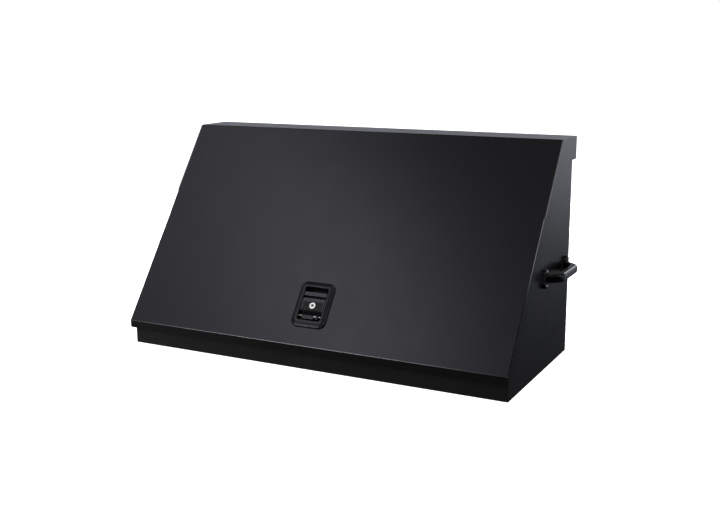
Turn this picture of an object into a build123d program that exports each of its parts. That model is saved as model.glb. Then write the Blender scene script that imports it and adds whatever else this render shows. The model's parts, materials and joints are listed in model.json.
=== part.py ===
from build123d import *
import math
import os

# Slant-front tool box: a folded steel case whose front and top lift as one lid on a rear hinge.
# Millimetres. X runs across the box, the front faces -Y, Z is up.
# Everything is drawn with y counted from the lid's front lip. save() moves it so that the
# origin is at the middle of the box's bottom.

# Overall sizes of the closed box
width = 1041.0
depth = 463.0
height = 545.0
top_depth = 115.0
overhang_height = 57.0
lip_top_z = 64.0
lip_height = 19.0

# Lid
lid_sheet = 1.5
cheek_sheet = 2.0
fold_radius = 2.5
cheek_edge_radius = 1.5
flange_depth = 30.0
notch_drop = 169.0
cheek_level_run = 58.0

# Body
body_sheet = 1.5
floor_sheet = 2.0
side_gap = 3.0
sill_setback = 17.8
rim_gap = 8.0
rim_width = 20.0
seal_width = 12.0
seal_gap = 0.3

# Holes that bolt the floor down
floor_hole_radius = 5.5
floor_hole_inset_x = 70.5
floor_hole_inset_y = 39.0

# Piano hinge
hinge_gap = 10.5
hinge_axis_rise = 3.0
hinge_sheet = 1.5
hinge_pin_radius = 3.0
running_clearance = 0.05
free_clearance = 0.3
hinge_end_gap = 15.0
knuckle_pitch = 30.0
leaf_height = 36.0
leaf_relief = 6.0
rivet_spacing = 110.0
rivet_end_gap = 20.0
rivet_radius = 2.0
rivet_head_radius = 3.5
rivet_head_height = 1.4
rivet_drop = 24.0

# Side handles
handle_bracket_gap = 14.5
handle_rear_gap = 38.0
handle_foot_spacing = 168.0
handle_reach = 43.0
handle_bar = 20.0
handle_bar_height = 21.0
handle_bar_round = 7.0
handle_arm_width = 22.0
handle_arm_lean = 24.0
handle_outer_corner = 28.0
handle_inner_corner = 13.0
foot_width = 25.0
foot_height = 47.0
foot_thickness = 9.0
foot_round = 2.5
handle_screw_offset = 17.0
handle_screw_radius = 2.5
handle_screw_head_radius = 4.5
handle_screw_head_height = 2.8
hole_clearance = 0.2
nut_plate_thickness = 3.0
screw_end = 3.0

# Stepped tier shelf
tier_sheet = 1.2
tier_side_gap = 87.5
tier_front_y = 80.0
tier_rear_gap = 54.5
tier_first_height = 90.0
tier_rise = 100.0
tier_count = 3
tier_foot = 15.0
tier_rear_flange = 20.0

# Lid stiffeners
stiffener_x = 250.0
stiffener_width = 40.0
stiffener_flange = 14.0
stiffener_depth = 15.0
stiffener_sheet = 1.2
stiffener_start = 175.0
stiffener_top_gap = 28.7

# Gas struts
strut_wall_gap = 34.5
strut_back_gap = 2.5
strut_drop = 255.0
strut_head_setback = 48.7
strut_lid_depth = 40.0
cylinder_radius = 9.0
cylinder_wall = 1.5
rod_reveal = 33.5
cylinder_base = 8.0
gland_length = 7.0
rod_radius = 4.0
rod_inner_end = 30.0
piston_length = 8.0
socket_radius = 8.0
socket_half_width = 6.0
ball_radius = 5.0
ball_clearance = 0.1
neck_length = 14.0
stud_radius = 3.0
stud_hole_radius = 3.6
socket_neck_radius = 5.0
bracket_sheet = 2.0
bracket_boss_radius = 8.0
body_bracket_size = 44.0
lid_bracket_gap = 2.0
lid_bracket_width = 40.0
lid_bracket_foot = 22.0

# Latch dish, in the plane of the panel: x across, s up the slope from the lip, h outward
opening_width = 63.5
opening_length = 85.0
opening_centre_s = 107.2
opening_corner = 5.0
opening_round = 2.0
bezel_side_border = 15.2
bezel_low_border = 18.1
bezel_high_border = 14.9
bezel_corner = 18.0
bezel_rise = 6.0
bezel_slope_run = 9.0
bezel_slope_drop = 2.4
bezel_edge_round = 3.0
bezel_crest_round = 28.0
dish_depth = 11.2
dish_wall = 1.6
gasket_thickness = 1.0
gasket_inset = 1.0
cutout_clearance = 0.9
stud_inset_x = 6.5
stud_inset_s = 7.5
dish_stud_radius = 2.4
dish_stud_length = 8.0
nut_half_flats = 4.0
nut_height = 4.0

# Paddle
paddle_side_gap = 1.5
pivot_inset = 12.3
pivot_h = -1.7
paddle_pin_radius = 2.5
paddle_barrel_radius = 4.5
paddle_barrel_inset = 8.25
finger_gap = 12.7
paddle_bar_width = 9.5
paddle_groove_width = 6.5
paddle_bend_run = 13.0
paddle_shoulder = 2.0
paddle_rib_wall = 1.0
paddle_bar_h = 4.6
paddle_face_h = 4.0
paddle_groove_h = -3.5
paddle_groove_back_h = -5.7
paddle_back_h = 1.0
paddle_step_h = 2.0
paddle_low_face_h = -3.2
paddle_low_back_h = -4.3
paddle_tail_run = 8.0
paddle_tail_inset = 9.25
tail_sink = 1.0
arm_length = 23.0
arm_width = 5.0
arm_half_x = 4.0

# Lock
lock_run = 25.7
lock_radius = 8.0
lock_proud = 0.8
lock_length = 17.7
lock_housing_radius = 10.0
lock_housing_depth = 7.5
plug_radius = 5.0
plug_recess = 0.3
keyway_width = 2.0
keyway_height = 6.0
keyway_depth = 9.0
cam_thickness = 2.0
cam_width = 8.0
cam_reach = 15.3
cam_hub_radius = 6.5
cam_screw_radius = 1.8
cam_screw_head_radius = 3.2
cam_screw_head_height = 1.0
cam_screw_length = 7.0
window_half_x = 12.0
window_end_gap = 4.0
arm_window_gap = 2.0

# Latch bolt, its frame and the striker
bolt_top_h = -18.2
bolt_thickness = 3.5
bolt_clearance = 0.5
bolt_travel = 12.0
bolt_hook_overlap = 9.2
bolt_tip_length = 17.0
bolt_tip_half = 15.0
bolt_tip_bevel = 7.0
bolt_rear_run = 23.0
bolt_hook_gap = 0.9
frame_half = 18.0
frame_sheet = 1.5
frame_lead = 6.7
frame_end_room = 16.0
frame_floor_gap = 3.5
frame_screw_side_inset = 4.0
frame_screw_low_inset = 5.3
frame_screw_end_inset = 15.0
frame_screw_radius = 1.6
frame_screw_head_radius = 3.0
frame_screw_head_height = 1.8
frame_boss_radius = 3.4
frame_boss_height = 6.5
frame_screw_grip = 5.0
striker_thickness = 1.5
striker_half_width = 32.0
striker_setback = 3.0
striker_rivet_x = 24.0

# Paddle spring
spring_x = 14.0
spring_half_width = 3.0
spring_wire_radius = 0.6
spring_coil_radius = 3.5
spring_notch_clearance = 0.5
spring_leg_run = 17.0
spring_rib_half = 1.0
spring_slot_gap = 9.0

# Places that follow from the sizes
lid_width = width - 2 * cheek_sheet
lid_half = lid_width / 2
wall_outer_x = lid_half - lid_sheet - side_gap
wall_inner_x = wall_outer_x - body_sheet
rim_inner_x = wall_outer_x - rim_width
rim_depth = lid_sheet + rim_gap
rim_top_z = height - rim_depth
back_outer_y = depth - lid_sheet - hinge_gap
back_inner_y = back_outer_y - body_sheet
sill_inner_y = sill_setback + body_sheet
lip_bottom_z = lip_top_z - lip_height
overhang_z = height - overhang_height
hinge_y = back_outer_y + hinge_gap / 2
hinge_z = overhang_z + hinge_axis_rise
knuckle_radius = hinge_gap / 2 - free_clearance
panel_run = depth - top_depth
panel_rise = height - lip_top_z
panel_length = math.hypot(panel_run, panel_rise)
up_y = panel_run / panel_length
up_z = panel_rise / panel_length
panel_plane = Plane(origin=(0, 0, lip_top_z), x_dir=(1, 0, 0), z_dir=(0, -up_z, up_y))
dish_floor_h = -dish_depth - dish_wall
bolt_bottom_h = bolt_top_h - bolt_thickness
frame_bottom_h = bolt_bottom_h - frame_floor_gap - frame_sheet
notch_z = height - notch_drop
front_rim_s = (sill_setback - rim_depth * up_z) / up_y
front_rim_end_s = front_rim_s + rim_width

# Places along the hinge
knuckle_count = 2 * int((wall_inner_x - hinge_end_gap) / knuckle_pitch - 0.5) + 1
hinge_half = knuckle_count * knuckle_pitch / 2
rivet_count = 2 * int((hinge_half - rivet_end_gap) / rivet_spacing) + 1

# Places of the handles, the tiers, the stiffeners and the struts
handle_front_y = back_outer_y - handle_rear_gap - handle_foot_spacing
tier_half_width = wall_inner_x - tier_side_gap
tier_tread = (back_inner_y - tier_rear_gap - tier_front_y) / tier_count
stiffener_end = panel_length - stiffener_top_gap
strut_x = wall_inner_x - strut_wall_gap
strut_body_y = back_inner_y - strut_back_gap - body_bracket_size / 2
strut_body_z = height - strut_drop
strut_lid_along = panel_length - strut_head_setback
bracket_low_z = strut_body_z - body_bracket_size / 2
handle_z = bracket_low_z - handle_bracket_gap - foot_height / 2

# Places in the latch
opening_low_s = opening_centre_s - opening_length / 2
opening_top_s = opening_centre_s + opening_length / 2
bezel_width = opening_width + 2 * bezel_side_border
bezel_length = opening_length + bezel_low_border + bezel_high_border
bezel_centre_s = opening_centre_s + (bezel_high_border - bezel_low_border) / 2
pivot_s = opening_low_s + pivot_inset
paddle_half_width = opening_width / 2 - paddle_side_gap
paddle_barrel_half = paddle_half_width - paddle_barrel_inset
paddle_tail_half = paddle_half_width - paddle_tail_inset
paddle_tail_s = pivot_s - paddle_tail_run
paddle_bend_s = pivot_s + paddle_bend_run
paddle_top_s = opening_top_s - finger_gap
paddle_bar_s = paddle_top_s - paddle_bar_width
paddle_groove_s = paddle_bar_s - paddle_groove_width
spring_leg_s = pivot_s + spring_leg_run
lock_s = pivot_s + lock_run
window_top_s = lock_s + cam_reach + window_end_gap
bolt_tip_s = front_rim_end_s - bolt_hook_overlap
bolt_rear_s = pivot_s + bolt_rear_run
frame_start_s = opening_low_s - frame_lead
frame_end_s = bolt_rear_s + bolt_travel + frame_end_room
frame_flange_end = opening_width / 2 + dish_wall
frame_screw_x = opening_width / 2 - frame_screw_side_inset
frame_screw_low_s = opening_low_s + frame_screw_low_inset
frame_screw_high_s = frame_end_s - frame_screw_end_inset

# Drawing aids: room past the part, how far a cut runs past a face, and how near counts as on it
margin = 20.0
cut_over = 1.0
near = 0.1


def panel_point(along, below):
    """The (y, z) point so far up the slope from the lip, and so far below the panel's face."""
    return (along * up_y + below * up_z, lip_top_z + along * up_z - below * up_y)


def slope_y(z, below):
    """Where the line so far below the panel's face reaches the height z."""
    along = (z - lip_top_z + below * up_y) / up_z
    return panel_point(along, below)[0]


def slope_z(y, below):
    """The height of the line so far below the panel's face, at y."""
    return panel_point(slope_along(y, below), below)[1]


def slope_along(y, below):
    """How far up the slope the line so far below the panel's face reaches y."""
    return (y - below * up_z) / up_y


def block(x0, x1, y0, y1, z0, z1):
    """A box between two corners."""
    centre = Pos((x0 + x1) / 2, (y0 + y1) / 2, (z0 + z1) / 2)
    return centre * Box(abs(x1 - x0), abs(y1 - y0), abs(z1 - z0))


def prism(points, x0, x1):
    """A solid with a (y, z) outline, between two places across the box."""
    face = Plane.YZ * make_face(Polyline(*points, close=True))
    return Pos(x0, 0, 0) * extrude(face, x1 - x0, dir=(1, 0, 0))


def rod(radius, start, direction, length):
    """A round bar from a point along a direction."""
    turned = Plane(origin=start, z_dir=direction)
    return turned * Cylinder(radius, length, align=(Align.CENTER, Align.CENTER, Align.MIN))


def cross_rod(radius, x0, x1, y, z):
    """A round bar that runs across the box."""
    return rod(radius, (x0, y, z), (1, 0, 0), x1 - x0)


def slab(outline, h0, h1):
    """A flat outline in the panel's own plane, as a plate between two heights."""
    return Pos(0, 0, h0) * extrude(outline, h1 - h0, dir=(0, 0, 1))


def rounded(across, along, corner, centre_s):
    """A rounded rectangle in the panel's own plane."""
    return Pos(0, centre_s) * RectangleRounded(across, along, corner)


def on_panel(shape):
    """Moves a shape from the panel's own plane to its place on the box."""
    return panel_plane.location * shape


def both_sides(x):
    """The same distance to the left and to the right."""
    return (-x, x)


def save(name, *solids):
    """Writes one node, with the origin moved to the middle of the box's bottom."""
    whole = solids[0] if len(solids) == 1 else Compound(list(solids))
    export_step(Pos(0, -depth / 2, 0) * whole, f"parts/{name}.step")


def save_pair(name, right):
    """Writes the right-hand piece and its mirror image."""
    save(f"{name}_right", *right)
    save(f"{name}_left", *[mirror(solid, about=Plane.YZ) for solid in right])


# Lid


def lid_envelope(inset, low_z):
    """The lid's closed outside shape, or its inside where it is inset by the sheet."""
    points = [
        (inset, low_z),
        (inset, slope_z(inset, inset)),
        (slope_y(height - inset, inset), height - inset),
        (depth - inset, height - inset),
        (depth - inset, low_z),
    ]
    return prism(points, inset - lid_half, lid_half - inset)


def fold_edges(shape, low_z):
    """All the edges of an envelope that the sheet is bent round."""
    return shape.edges().filter_by(lambda edge: edge.bounding_box().max.Z > low_z + cut_over)


def lid_outside():
    """Bent at the sides below the notch, and square there above it, where the cheeks stand."""
    plain = lid_envelope(0, lip_bottom_z)
    bent = fillet(fold_edges(plain, lip_bottom_z), fold_radius)
    square = fillet(fold_edges(plain, lip_bottom_z).filter_by(Axis.X), fold_radius)
    upper = block(-width, width, -margin, depth + margin, notch_z, height + margin)
    return (bent - upper) + (square & upper)


def lid_inside():
    low_z = lip_bottom_z - margin
    shape = lid_envelope(lid_sheet, low_z)
    return fillet(fold_edges(shape, low_z), fold_radius - lid_sheet)


def below_flanges():
    """The space under the side flanges, which is open."""
    low_z = lip_bottom_z - margin
    points = [
        (slope_y(low_z, flange_depth), low_z),
        (slope_y(height - lid_sheet, flange_depth), height - lid_sheet),
        (depth - lid_sheet, height - lid_sheet),
        (depth - lid_sheet, low_z),
    ]
    return prism(points, -width, width)


def lid_panel():
    shell = lid_outside() - lid_inside() - below_flanges()
    under_overhang = block(-width, width, depth - 2 * fold_radius, depth + margin, 0, overhang_z)
    cutout = slab(latch_cutout(), -margin, margin)
    shell = shell - under_overhang - on_panel(cutout)
    for x, s in stud_places():
        hole = Pos(x, s) * Cylinder(dish_stud_radius + hole_clearance, 2 * margin)
        shell = shell - on_panel(hole)
    return shell - hinge_rivet_holes(hinge_z + rivet_drop, depth - lid_sheet)


def lid_cheek():
    """The plate welded over the lid's upper side, flush with the panel and the top."""
    points = [
        (slope_y(notch_z, 0), notch_z),
        (panel_run, height),
        (depth, height),
        (depth, overhang_z),
        (depth - cheek_level_run, overhang_z),
        (slope_y(notch_z, flange_depth), notch_z),
    ]
    plate = prism(points, lid_half, width / 2)
    corners = plate.edges().filter_by(Axis.X).group_by(Axis.Z)[-1]
    plate = fillet(corners, fold_radius)
    outer = plate.faces().sort_by(Axis.X)[-1].edges()
    return fillet(outer, cheek_edge_radius)


def lid_stiffener(x):
    """A hat-shaped channel under the panel."""
    half = stiffener_width / 2
    inner = half - stiffener_flange
    top = -lid_sheet
    bottom = top - stiffener_depth
    outline = Polyline(
        (x - half, top),
        (x - half, top - stiffener_sheet),
        (x - inner - stiffener_sheet, top - stiffener_sheet),
        (x - inner - stiffener_sheet, bottom),
        (x + inner + stiffener_sheet, bottom),
        (x + inner + stiffener_sheet, top - stiffener_sheet),
        (x + half, top - stiffener_sheet),
        (x + half, top),
        (x + inner, top),
        (x + inner, bottom + stiffener_sheet),
        (x - inner, bottom + stiffener_sheet),
        (x - inner, top),
        close=True,
    )
    section = Plane(origin=(0, 0, 0), x_dir=(1, 0, 0), z_dir=(0, -1, 0)) * make_face(outline)
    bar = extrude(section, stiffener_end - stiffener_start, dir=(0, 1, 0))
    return on_panel(Pos(0, stiffener_start, 0) * bar)


# Body


def rim_section(first_y, last_y):
    """The rim flange along a side: it follows the panel, then the top."""
    inner = rim_depth + body_sheet
    return [
        (first_y, slope_z(first_y, rim_depth)),
        (slope_y(rim_top_z, rim_depth), rim_top_z),
        (last_y, rim_top_z),
        (last_y, rim_top_z - body_sheet),
        (slope_y(rim_top_z - body_sheet, inner), rim_top_z - body_sheet),
        (first_y, slope_z(first_y, inner)),
    ]


def side_wall():
    plate_points = [
        (sill_setback, 0),
        (sill_setback, slope_z(sill_setback, rim_depth)),
        (slope_y(rim_top_z, rim_depth), rim_top_z),
        (back_outer_y, rim_top_z),
        (back_outer_y, 0),
    ]
    plate = prism(plate_points, wall_inner_x, wall_outer_x)
    rim = prism(rim_section(sill_inner_y, back_inner_y), rim_inner_x, wall_inner_x)
    wall = plate + rim
    for y, z in handle_screw_places():
        wall = wall - cross_rod(handle_screw_radius + hole_clearance, wall_inner_x - cut_over, width, y, z)
    return wall


def front_sill():
    """The strip under the lip, with its rim flange bent back along the slope."""
    inner = rim_depth + body_sheet
    flanged = [
        (sill_setback, 0),
        (sill_setback, slope_z(sill_setback, rim_depth)),
        panel_point(front_rim_end_s, rim_depth),
        panel_point(front_rim_end_s, inner),
        (sill_inner_y, slope_z(sill_inner_y, inner)),
        (sill_inner_y, 0),
    ]
    upright = [
        (sill_setback, 0),
        (sill_setback, slope_z(sill_setback, rim_depth)),
        (sill_inner_y, slope_z(sill_inner_y, rim_depth)),
        (sill_inner_y, 0),
    ]
    sill = prism(flanged, -rim_inner_x, rim_inner_x) + prism(upright, -wall_inner_x, wall_inner_x)
    for x in both_sides(striker_rivet_x):
        hole = Pos(x, striker_middle_s(), -rim_depth) * Cylinder(rivet_radius, margin)
        sill = sill - on_panel(hole)
    return sill


def back_panel():
    plate = block(-wall_inner_x, wall_inner_x, back_inner_y, back_outer_y, 0, rim_top_z)
    rim_front = back_outer_y - rim_width
    rim_low_z = rim_top_z - body_sheet
    rim = block(-rim_inner_x, rim_inner_x, rim_front, back_inner_y, rim_low_z, rim_top_z)
    return plate + rim - hinge_rivet_holes(hinge_z - rivet_drop, back_inner_y)


def floor_pan():
    plate = block(-wall_inner_x, wall_inner_x, sill_inner_y, back_inner_y, 0, floor_sheet)
    for x in both_sides(width / 2 - floor_hole_inset_x):
        for y in (floor_hole_inset_y, depth - floor_hole_inset_y):
            plate = plate - Pos(x, y, 0) * Cylinder(floor_hole_radius, margin)
    return plate


def weather_seal():
    """One loop that lies on the middle of the rim flanges, just short of the lid."""
    low = rim_depth
    high = lid_sheet + seal_gap
    border = (rim_width - seal_width) / 2
    front_y = panel_point(front_rim_s + border, low)[0]
    front_along = slope_along(front_y, low)
    rear_y = back_outer_y - border
    side_points = [
        panel_point(front_along, low),
        panel_point(front_along, high),
        (slope_y(height - high, high), height - high),
        (rear_y, height - high),
        (rear_y, height - low),
        (slope_y(height - low, low), height - low),
    ]
    outer_x = wall_outer_x - border
    loop = prism(side_points, outer_x - seal_width, outer_x)
    loop = loop + prism(side_points, -outer_x, seal_width - outer_x)
    front_points = [
        panel_point(front_along, low),
        panel_point(front_along, high),
        panel_point(front_along + seal_width, high),
        panel_point(front_along + seal_width, low),
    ]
    loop = loop + prism(front_points, -outer_x, outer_x)
    return loop + block(-outer_x, outer_x, rear_y - seal_width, rear_y, height - low, height - high)


# Stepped tier shelf


def tier_outline(inset):
    """The steps from the front foot to the rear edge, as (y, z) corners."""
    points = [(tier_front_y + inset, floor_sheet)]
    for step in range(tier_count):
        front = tier_front_y + step * tier_tread + inset
        level = tier_first_height + step * tier_rise - inset
        points.append((front, level))
        points.append((front + tier_tread, level))
    return points


def tier_shelf():
    outer = tier_outline(0)
    inner = tier_outline(tier_sheet)
    rear_y, top_z = outer[-1]
    flange_z = top_z - tier_rear_flange
    section = outer + [(rear_y, flange_z), (rear_y - tier_sheet, flange_z)]
    section = section + [(rear_y - tier_sheet, top_z - tier_sheet)] + inner[-2::-1]
    sheet = prism(section, -tier_half_width, tier_half_width)
    foot_y = tier_front_y - tier_foot
    foot_z = floor_sheet + tier_sheet
    foot = block(-tier_half_width, tier_half_width, foot_y, tier_front_y, floor_sheet, foot_z)
    return sheet + foot


def tier_end():
    """The plate that carries the steps at their ends."""
    steps = tier_outline(0)
    rear_y = steps[-1][0]
    points = steps + [(rear_y, floor_sheet)]
    return prism(points, tier_half_width, tier_half_width + tier_sheet)


# Side handles


def handle_feet_y():
    return (handle_front_y, handle_front_y + handle_foot_spacing)


def handle_screw_places():
    """The (y, z) centres of one handle's four screws."""
    places = []
    for y in handle_feet_y():
        for z in both_sides(handle_screw_offset):
            places.append((y, handle_z + z))
    return places


def side_handle():
    """A bar bent out from two feet, lying level."""
    front, rear = handle_feet_y()
    middle = (front + rear) / 2
    half_arm = handle_arm_width / 2
    outside = Polyline(
        (0, front - half_arm),
        (handle_reach, front - half_arm + handle_arm_lean + handle_bar / 2),
        (handle_reach, rear + half_arm - handle_arm_lean - handle_bar / 2),
        (0, rear + half_arm),
        close=True,
    )
    inner_reach = handle_reach - handle_bar
    inside = Polyline(
        (-margin, front + half_arm - handle_arm_lean),
        (0, front + half_arm),
        (inner_reach, front + half_arm + handle_arm_lean),
        (inner_reach, rear - half_arm - handle_arm_lean),
        (0, rear - half_arm),
        (-margin, rear - half_arm + handle_arm_lean),
        close=True,
    )
    outer_face = make_face(outside)
    outer_face = fillet(outer_face.vertices().group_by(Axis.X)[-1], handle_outer_corner)
    inner_face = make_face(inside)
    inner_face = fillet(inner_face.vertices().group_by(Axis.X)[-1], handle_inner_corner)
    bar = extrude(outer_face - inner_face, handle_bar_height / 2, both=True)
    face_z = handle_bar_height / 2 - near
    long_edges = bar.edges().filter_by(lambda edge: abs(edge.center().Z) > face_z)
    long_edges = long_edges.filter_by(lambda edge: edge.center().X > near)
    bar = fillet(long_edges, handle_bar_round)
    handle = Pos(wall_outer_x, 0, handle_z) * bar
    for y in handle_feet_y():
        tab = Plane.YZ * SlotOverall(foot_height, foot_width, rotation=90)
        foot = extrude(tab, foot_thickness, dir=(1, 0, 0))
        foot = fillet(foot.faces().sort_by(Axis.X)[-1].edges(), foot_round)
        handle = handle + Pos(wall_outer_x, y, handle_z) * foot
    for y, z in handle_screw_places():
        handle = handle - cross_rod(handle_screw_radius + hole_clearance, 0, width, y, z)
    return handle


def handle_screws():
    head_x = wall_outer_x + foot_thickness
    inner_end = wall_inner_x - nut_plate_thickness - screw_end
    screws = []
    for y, z in handle_screw_places():
        head = cross_rod(handle_screw_head_radius, head_x, head_x + handle_screw_head_height, y, z)
        head = fillet(head.faces().sort_by(Axis.X)[-1].edges(), handle_screw_head_height / 2)
        shank = cross_rod(handle_screw_radius, inner_end, head_x, y, z)
        screws.append(head + shank)
    return screws


def handle_nut_plates():
    plates = []
    inner_x = wall_inner_x - nut_plate_thickness
    for y in handle_feet_y():
        low_y = y - foot_width / 2
        low_z = handle_z - foot_height / 2
        plate = block(inner_x, wall_inner_x, low_y, low_y + foot_width, low_z, low_z + foot_height)
        for z in both_sides(handle_screw_offset):
            hole = cross_rod(handle_screw_radius, inner_x - cut_over, wall_outer_x, y, handle_z + z)
            plate = plate - hole
        plates.append(plate)
    return plates


# Piano hinge


def knuckle_span(index):
    """The two ends across the box of one knuckle."""
    start = (index - knuckle_count / 2) * knuckle_pitch
    return (start + free_clearance / 2, start + knuckle_pitch - free_clearance / 2)


def rivet_places():
    return [(i - (rivet_count - 1) / 2) * rivet_spacing for i in range(rivet_count)]


def hinge_rivet_holes(z, first_y):
    """The row of rivet holes through a wall, whose near face is at first_y, and its leaf."""
    start_y = first_y - cut_over
    length = body_sheet + hinge_sheet + lid_sheet + 2 * cut_over
    return Compound([rod(rivet_radius, (x, start_y, z), (0, 1, 0), length) for x in rivet_places()])


def hinge_leaf(first, leaf_y, near_z, far_z, bore):
    """A leaf with every second knuckle, from its relieved edge near the axis to its far edge."""
    leaf = block(-hinge_half, hinge_half, leaf_y, leaf_y + hinge_sheet, near_z, far_z)
    for index in range(first, knuckle_count, 2):
        x0, x1 = knuckle_span(index)
        link = block(x0, x1, leaf_y, leaf_y + hinge_sheet, hinge_z, near_z)
        leaf = leaf + link + cross_rod(knuckle_radius, x0, x1, hinge_y, hinge_z)
    return leaf - cross_rod(bore, -width, width, hinge_y, hinge_z)


def hinge_leaf_body():
    near_z = hinge_z - leaf_relief
    leaf = hinge_leaf(0, back_outer_y, near_z, hinge_z - leaf_height, hinge_pin_radius)
    return leaf - hinge_rivet_holes(hinge_z - rivet_drop, back_outer_y)


def hinge_leaf_lid():
    near_z = hinge_z + leaf_relief
    leaf_y = depth - lid_sheet - hinge_sheet
    bore = hinge_pin_radius + running_clearance
    leaf = hinge_leaf(1, leaf_y, near_z, hinge_z + leaf_height, bore)
    return leaf - hinge_rivet_holes(hinge_z + rivet_drop, leaf_y)


def hinge_pin():
    return cross_rod(hinge_pin_radius, -hinge_half, hinge_half, hinge_y, hinge_z)


def hinge_rivets_body():
    """Rivets with a head on the leaf and a closing head inside the case."""
    rivets = []
    z = hinge_z - rivet_drop
    for x in rivet_places():
        leaf_face = back_outer_y + hinge_sheet
        start = back_inner_y - rivet_head_height
        shank = rod(rivet_radius, (x, start, z), (0, 1, 0), leaf_face - start)
        inner_head = rod(rivet_head_radius, (x, start, z), (0, 1, 0), rivet_head_height)
        outer_head = rod(rivet_head_radius, (x, leaf_face, z), (0, 1, 0), rivet_head_height)
        rivets.append(shank + inner_head + outer_head)
    return rivets


def hinge_rivets_lid():
    """Rivets with a head on the leaf, and ground flush with the lid's rear face."""
    rivets = []
    z = hinge_z + rivet_drop
    leaf_face = depth - lid_sheet - hinge_sheet
    for x in rivet_places():
        head_y = leaf_face - rivet_head_height
        head = rod(rivet_head_radius, (x, head_y, z), (0, 1, 0), rivet_head_height)
        shank = rod(rivet_radius, (x, leaf_face, z), (0, 1, 0), hinge_sheet + lid_sheet)
        rivets.append(head + shank)
    return rivets


# Gas struts


def strut_line():
    """The body stud's and the lid stud's centres, the direction between them and its length."""
    body_stud = Vector(strut_x, strut_body_y, strut_body_z)
    lid_stud = Vector(strut_x, *panel_point(strut_lid_along, strut_lid_depth))
    return body_stud, lid_stud, (lid_stud - body_stud).normalized(), (lid_stud - body_stud).length


def ball(centre, radius):
    """A ball, turned so that the stud doesn't meet its seam."""
    return Pos(*centre) * Rotation(0, 0, 180) * Sphere(radius)


def ball_socket(centre, direction):
    """A round housing about a ball, with a neck towards the strut."""
    x0 = centre.X - socket_half_width
    x1 = centre.X + socket_half_width
    housing = cross_rod(socket_radius, x0, x1, centre.Y, centre.Z)
    neck = rod(socket_neck_radius, tuple(centre), tuple(direction), neck_length)
    housing = housing + neck
    housing = housing - ball(centre, ball_radius + ball_clearance)
    return housing - cross_rod(stud_hole_radius, centre.X, x1 + cut_over, centre.Y, centre.Z)


def strut_cylinder():
    """The pressure tube, closed at its foot."""
    start, _, along, stud_distance = strut_line()
    length = stud_distance - rod_reveal - neck_length
    tube = rod(cylinder_radius, tuple(start + along * neck_length), tuple(along), length)
    bore_start = start + along * (neck_length + cylinder_base)
    bore = rod(cylinder_radius - cylinder_wall, tuple(bore_start), tuple(along), length)
    return tube - bore


def strut_gland():
    """The guide that closes the tube round the rod."""
    start, _, along, stud_distance = strut_line()
    place = start + along * (stud_distance - rod_reveal - gland_length)
    ring = rod(cylinder_radius - cylinder_wall, tuple(place), tuple(along), gland_length)
    bore_start = place - along * cut_over
    bore_length = gland_length + 2 * cut_over
    return ring - rod(rod_radius + running_clearance, tuple(bore_start), tuple(along), bore_length)


def strut_rod():
    """The rod with its piston, from inside the tube to its end socket."""
    start, _, along, stud_distance = strut_line()
    inner = start + along * rod_inner_end
    bar = rod(rod_radius, tuple(inner), tuple(along), stud_distance - neck_length - rod_inner_end)
    piston_radius = cylinder_radius - cylinder_wall - running_clearance
    return bar + rod(piston_radius, tuple(inner), tuple(along), piston_length)


def strut_foot_socket():
    start, _, along, _ = strut_line()
    return ball_socket(start, along)


def strut_head_socket():
    _, end, along, _ = strut_line()
    return ball_socket(end, along * -1)


def strut_bracket_body():
    """A plate on the side wall with a boss and a ball stud that points inward."""
    start = strut_line()[0]
    half = body_bracket_size / 2
    y, z = start.Y, start.Z
    plate = block(wall_inner_x - bracket_sheet, wall_inner_x, y - half, y + half, z - half, z + half)
    boss_end = strut_x + socket_half_width + lid_bracket_gap
    boss = cross_rod(bracket_boss_radius, boss_end, wall_inner_x, y, z)
    stud = cross_rod(stud_radius, strut_x, boss_end, y, z)
    return plate + boss + stud + ball(start, ball_radius)


def strut_bracket_lid():
    """An angle under the panel beside the strut's head, with a short stud towards it."""
    near_x = strut_x + socket_half_width + lid_bracket_gap
    s0 = strut_lid_along - lid_bracket_width / 2
    s1 = strut_lid_along + lid_bracket_width / 2
    bottom = -strut_lid_depth - socket_radius
    web = block(near_x, near_x + bracket_sheet, s0, s1, bottom, -lid_sheet)
    foot_top = -lid_sheet
    far_x = near_x + bracket_sheet - lid_bracket_foot
    foot = block(far_x, near_x + bracket_sheet, s0, s1, foot_top - bracket_sheet, foot_top)
    stud_length = lid_bracket_gap - free_clearance
    stud = rod(stud_radius, (near_x, strut_lid_along, -strut_lid_depth), (-1, 0, 0), stud_length)
    return on_panel(web + foot + stud)


# Latch, drawn in the panel's own plane


def latch_cutout():
    wide = opening_width + 2 * dish_wall + 2 * cutout_clearance
    long = opening_length + 2 * dish_wall + 2 * cutout_clearance
    return rounded(wide, long, opening_corner + dish_wall, opening_centre_s)


def stud_places():
    places = []
    for x in both_sides(bezel_width / 2 - stud_inset_x):
        for s in both_sides(bezel_length / 2 - stud_inset_s):
            places.append((x, bezel_centre_s + s))
    return places


def frame_screw_places():
    places = []
    for x in both_sides(frame_screw_x):
        for s in (frame_screw_low_s, frame_screw_high_s):
            places.append((x, s))
    return places


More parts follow.
